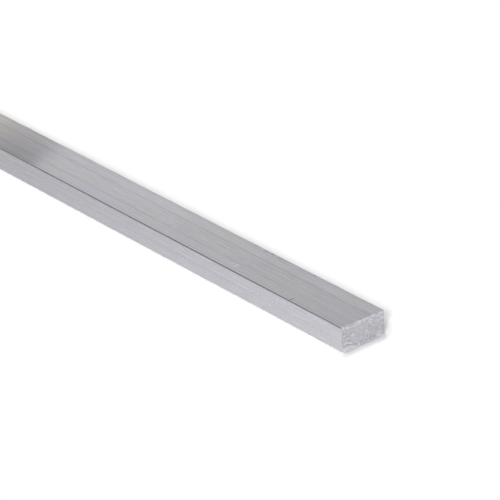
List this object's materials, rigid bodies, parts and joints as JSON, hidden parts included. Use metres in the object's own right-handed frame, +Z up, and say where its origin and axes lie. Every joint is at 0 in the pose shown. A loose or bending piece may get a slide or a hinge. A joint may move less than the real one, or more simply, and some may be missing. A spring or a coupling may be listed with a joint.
{
  "type": "aluminium flat bar",
  "caption": "Solid rectangular aluminium flat bar in mill finish with fine lines along its length, slightly rounded long edges and rough sawn ends, for cutting, drilling and framing work.",
  "frame": {"origin": "middle of the underside, on the surface that the bar lies on", "axes": "+X along the bar towards the end that shows in the picture, +Y across the width away from the side that shows, +Z up through the thickness"},
  "size_m": [0.5, 0.02, 0.01],
  "materials": {
    "mill_aluminium": "extruded mill finish, satin, with faint die lines along the bar; sawn ends are rougher and brighter"
  },
  "bodies": {
    "root": {"flat_bar": "mill_aluminium"}
  },
  "joints": []
}
